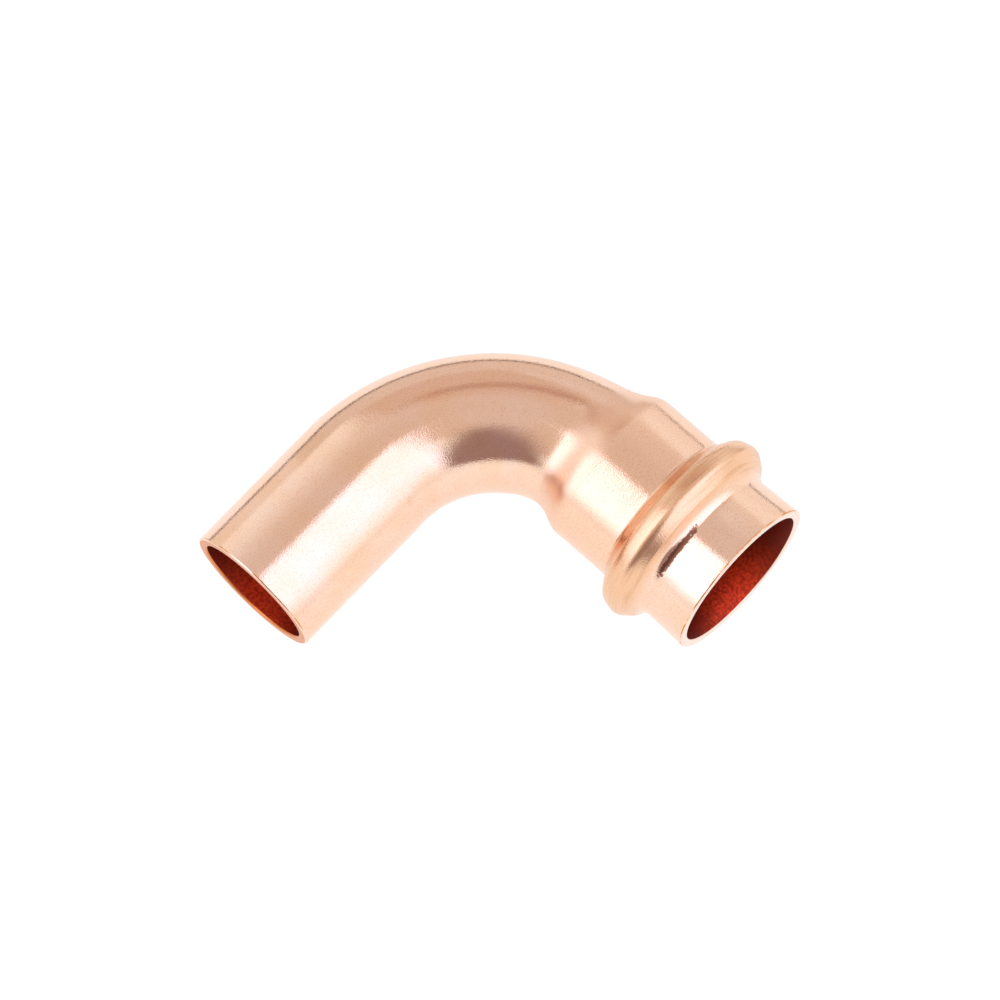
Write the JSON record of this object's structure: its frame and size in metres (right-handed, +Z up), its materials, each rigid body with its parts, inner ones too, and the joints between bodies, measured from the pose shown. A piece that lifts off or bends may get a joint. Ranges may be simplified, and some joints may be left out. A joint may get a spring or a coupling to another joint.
{
  "type": "press fit fitting",
  "caption": "Right-angle copper pipe elbow with a plain end and a press socket that holds a rubber sealing ring in a rolled bead.",
  "frame": {"origin": "middle of the footprint, on the surface that the elbow lies on", "axes": "+Z up as it lies, across the plane of the bend; the socket points to +X and the plain end to -Y"},
  "size_m": [0.0438, 0.0452, 0.0215],
  "materials": {
    "copper": "bright drawn copper",
    "rubber": "smooth moulded rubber"
  },
  "bodies": {
    "root": {"elbow_body": "copper", "sealing_ring": "rubber"}
  },
  "joints": []
}
